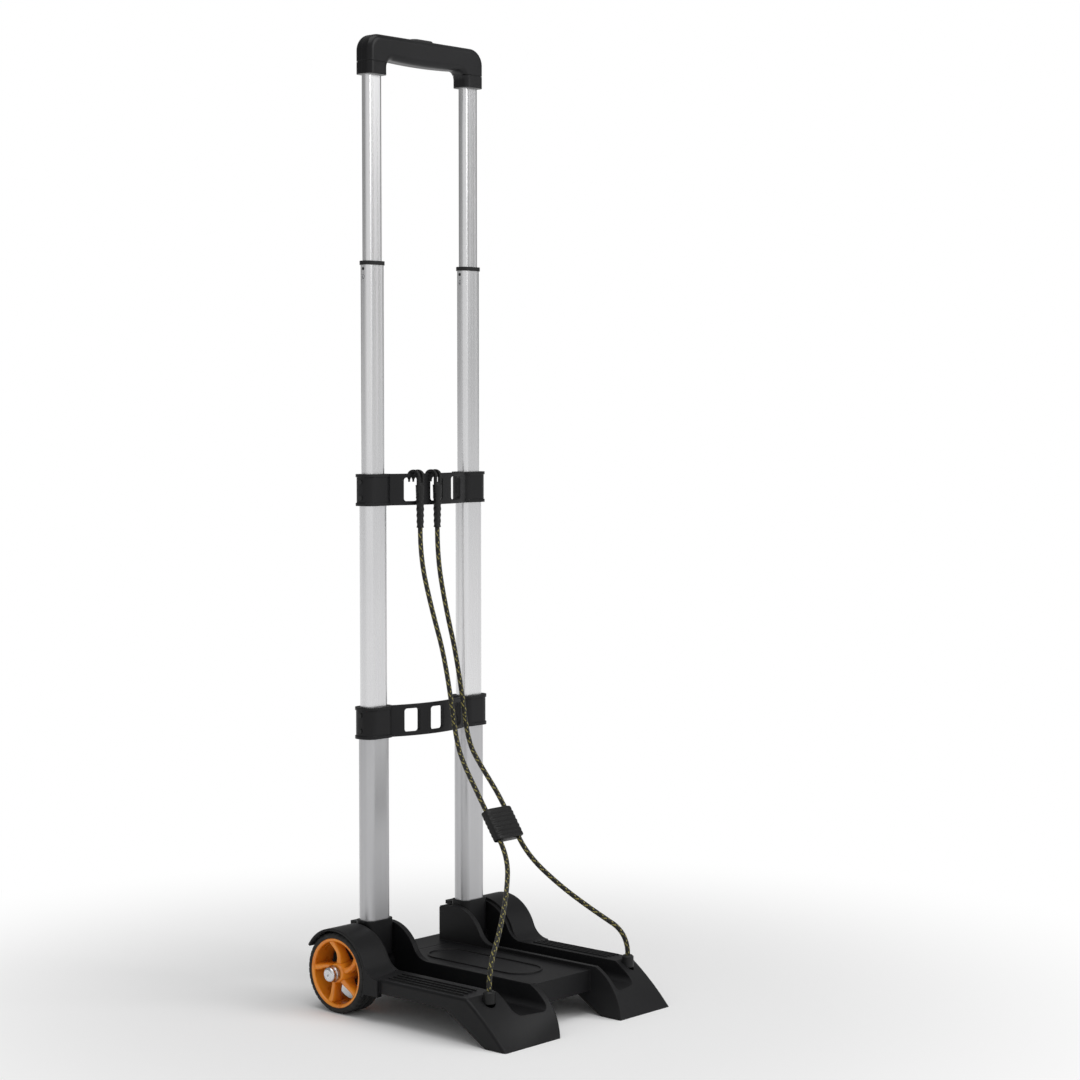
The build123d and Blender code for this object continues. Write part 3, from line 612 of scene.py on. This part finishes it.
def braided(name):
    # strand number = (u +- v / lay) * strands; right passes over left where the two numbers' sum is odd
    # height across a strand = 4 f (1 - f), with f its fraction; one strand in four is olive yellow; the same
    # height darkens the colour to near black in the valleys between strands, a painted shade
    finish = Finish(name, Specular_IOR_Level=0.3, Sheen_Weight=0.15, Sheen_Roughness=0.5)
    uv = finish.add("ShaderNodeUVMap", {"uv_map": "along"}, {}).outputs[0]
    parts = finish.add("ShaderNodeSeparateXYZ", {}, {0: uv})
    around, along = Signal(finish, parts.outputs[0]), Signal(finish, parts.outputs[1])
    strands, lay = braid["strands"], braid["lay"]
    right = (around + along / lay) * strands + 400
    left = (around - along / lay) * strands + 400
    over = ((right - right % 1) + (left - left % 1)) % 2
    acrossRight = finish.fade(4 * (right % 1) * (1 - right % 1), 0, 1)
    acrossLeft = finish.fade(4 * (left % 1) * (1 - left % 1), 0, 1)
    height = over * acrossRight + (1 - over) * acrossLeft
    tracer = over * (1 - ((right % braid["every"]) > 1))
    tracer = tracer + (1 - over) * (1 - ((left % braid["every"]) > 1))
    fibres = finish.noise(5000.0, 2.0)
    fleck = finish.colours(fibres, (0.22, 0.19, 0.05), braid["fleck"])
    colour = finish.colours(tracer, braid["black"], fleck)
    # painted shade: the colour falls to near black where a strand's height falls off, in the valleys between
    # strands
    finish.set("Base Color", finish.colours(height, (0.006, 0.006, 0.005), colour))
    finish.set("Roughness", finish.fade(fibres, 0.3, 0.7, 0.62, 0.8))
    finish.bump(height + fibres * 0.2, 0.0003, 0.7)
    return finish.material


def plated(name, colour, roughness, edge=0.0):
    # colour and roughness = a range of one noise stretched along x, which is also the height
    finish = Finish(name, Metallic=1.0)
    marks = finish.noise(300.0, 4.0, (0.1, 1, 1))
    finish.set("Base Color", finish.colours(marks, colour, tuple(min(1, c * 1.08) for c in colour)))
    finish.set("Roughness", finish.fade(marks, 0.3, 0.7, roughness * 0.8, roughness * 1.3))
    finish.bump(marks, 0.00002, 0.3, edge)
    return finish.material


def plainPlastic(name):
    # colour and roughness = two creamy ends mixed by one noise, which is also the height
    finish = Finish(name, Specular_IOR_Level=0.45)
    marks = finish.noise(200.0, 3.0)
    finish.set("Base Color", finish.colours(marks, (0.52, 0.52, 0.49), (0.66, 0.66, 0.63)))
    finish.set("Roughness", finish.fade(marks, 0.3, 0.7, 0.38, 0.5))
    finish.bump(marks, 0.00004, 0.3, 0.0003)
    return finish.material


finishes = {
    "moulding": mouldedBlack("moulded black", (0.005, 0.005, 0.0055), (0.013, 0.013, 0.014), 0.45, 0.0012),
    "grip": mouldedBlack("grip black", (0.005, 0.005, 0.0055), (0.012, 0.012, 0.013), 0.34, 0.0008, 0.00004),
    "button": mouldedBlack(
        "button black", (0.014, 0.014, 0.015), (0.026, 0.026, 0.027), 0.28, 0.0004, 0.00002),
    "trim": mouldedBlack("trim black", (0.010, 0.010, 0.010), (0.020, 0.020, 0.021), 0.40, 0.0004),
    "hooks": mouldedBlack("hook black", (0.009, 0.009, 0.009), (0.020, 0.020, 0.020), 0.38, 0.0003),
    "inner_plastic": plainPlastic("acetal"),
    "tube": anodised("anodised tube", (0.66, 0.66, 0.67), (0.77, 0.77, 0.775), 0.2, 0.3),
    "tube_grey": anodised("grey tube", (0.44, 0.44, 0.45), (0.54, 0.54, 0.55), 0.30, 0.42),
    "steel": plated("bright steel", (0.56, 0.56, 0.57), 0.25),
    "cap": plated("plated cap", (0.66, 0.66, 0.67), 0.24),
    "rivets": mouldedBlack("rivet black", (0.010, 0.010, 0.010), (0.03, 0.03, 0.031), 0.34, 0.0003),
    "tyre": rubber("tread rubber"),
    "rim": amber("amber plastic"),
    "pads": rubber("sole rubber", 0.8),
    "cord": braided("braided sheath"),
}


def dress():
    # gives each CAD node the finish of its slot, and each new piece its own
    for entry in frame["record"]["subparts"]:
        node = bpy.data.objects.get(entry["node"])
        if node is None:
            continue
        node.data.materials.clear()
        node.data.materials.append(finishes[entry["material_slot"]])
    dressed = [(cordPieces, "cord"), (wheelPieces["tyre"], "tyre"), (wheelPieces["rim"], "rim")]
    dressed += [(wheelPieces["cap"], "cap"), (hookPieces, "hooks")]
    for pieces, slot in dressed:
        for piece in pieces:
            piece.data.materials.append(finishes[slot])


dress()
print("stage: materials")

# ---- floor and light
studio = {"floor": 0.93, "sky": 1.0, "dim": 0.28, "bright": 0.5, "brightFrom": 238}


def makeFloor():
    # a disc that fades into the background's white as it goes out
    rings = np.array([0.01, 0.5, 1.0, 2.0, 4.0, 10.0, 40.0])
    turn = np.linspace(0, 2 * math.pi, 48, endpoint=False)
    points = np.stack([
        rings[:, None] * np.cos(turn), rings[:, None] * np.sin(turn), np.zeros((len(rings), 48))], axis=-1)
    floor = buildMesh("floor", points, [gridFaces(len(rings), 48)[:, ::-1]])
    material = bpy.data.materials.new("pale floor")
    material.use_nodes = True
    tree = material.node_tree
    shader = next(n for n in tree.nodes if n.type == "BSDF_PRINCIPLED")
    shader.inputs["Base Color"].default_value = (studio["floor"],) * 3 + (1,)
    shader.inputs["Roughness"].default_value = 0.9
    shader.inputs["Specular IOR Level"].default_value = 0.1
    white = tree.nodes.new("ShaderNodeEmission")
    white.inputs["Strength"].default_value = studio["sky"]
    place = tree.nodes.new("ShaderNodeTexCoord")
    distance = tree.nodes.new("ShaderNodeVectorMath")
    distance.operation = "LENGTH"
    tree.links.new(place.outputs["Object"], distance.inputs[0])
    fade = tree.nodes.new("ShaderNodeMapRange")
    fade.interpolation_type = "SMOOTHSTEP"
    fade.inputs["From Min"].default_value = 0.24
    fade.inputs["From Max"].default_value = 0.85
    tree.links.new(distance.outputs["Value"], fade.inputs["Value"])
    mix = tree.nodes.new("ShaderNodeMixShader")
    tree.links.new(fade.outputs[0], mix.inputs[0])
    tree.links.new(shader.outputs[0], mix.inputs[1])
    tree.links.new(white.outputs[0], mix.inputs[2])
    output = next(n for n in tree.nodes if n.type == "OUTPUT_MATERIAL")
    tree.links.new(mix.outputs[0], output.inputs["Surface"])
    floor.data.materials.append(material)


def makeLight(name, place, target, size, power):
    light = bpy.data.lights.new(name, "AREA")
    light.shape = "RECTANGLE"
    light.size, light.size_y = size
    light.energy = power
    holder = bpy.data.objects.new(name, light)
    holder.location = place
    holder.rotation_euler = (Vector(target) - Vector(place)).to_track_quat("-Z", "Y").to_euler()
    bpy.context.collection.objects.link(holder)


def makeWorld():
    world = bpy.data.worlds.new("studio")
    bpy.context.scene.world = world
    world.use_nodes = True
    background = next(n for n in world.node_tree.nodes if n.type == "BACKGROUND")
    background.inputs["Color"].default_value = (1, 1, 1, 1)
    # the sky is seen as plain white, whatever light it gives
    tree = world.node_tree
    seen = tree.nodes.new("ShaderNodeBackground")
    seen.inputs["Color"].default_value = (1, 1, 1, 1)
    seen.inputs["Strength"].default_value = studio["sky"]
    # fill = dim + bright * smoothstep(direction . towards the bright wall)
    coordinates = tree.nodes.new("ShaderNodeTexCoord")
    towards = tree.nodes.new("ShaderNodeVectorMath")
    towards.operation = "DOT_PRODUCT"
    tree.links.new(coordinates.outputs["Generated"], towards.inputs[0])
    angle = math.radians(studio["brightFrom"])
    towards.inputs[1].default_value = (math.cos(angle), math.sin(angle), 0)
    fall = tree.nodes.new("ShaderNodeMapRange")
    fall.interpolation_type = "SMOOTHSTEP"
    fall.inputs["From Min"].default_value = -0.1
    fall.inputs["From Max"].default_value = 0.9
    fall.inputs["To Min"].default_value = studio["dim"]
    fall.inputs["To Max"].default_value = studio["dim"] + studio["bright"]
    tree.links.new(towards.outputs["Value"], fall.inputs["Value"])
    tree.links.new(fall.outputs[0], background.inputs["Strength"])
    rays = tree.nodes.new("ShaderNodeLightPath")
    mix = tree.nodes.new("ShaderNodeMixShader")
    output = next(n for n in tree.nodes if n.type == "OUTPUT_WORLD")
    tree.links.new(rays.outputs["Is Camera Ray"], mix.inputs[0])
    tree.links.new(background.outputs[0], mix.inputs[1])
    tree.links.new(seen.outputs[0], mix.inputs[2])
    tree.links.new(mix.outputs[0], output.inputs["Surface"])


makeFloor()
makeWorld()
makeLight("key", (1.2, -2.4, 2.2), (0, 0, 0.5), (1.6, 2.2), 34)
makeLight("top", (-0.3, -0.2, 2.6), (0, 0, 0.3), (1.8, 1.8), 22)
bpy.context.scene.view_settings.view_transform = "Standard"
print("stage: floor and light")
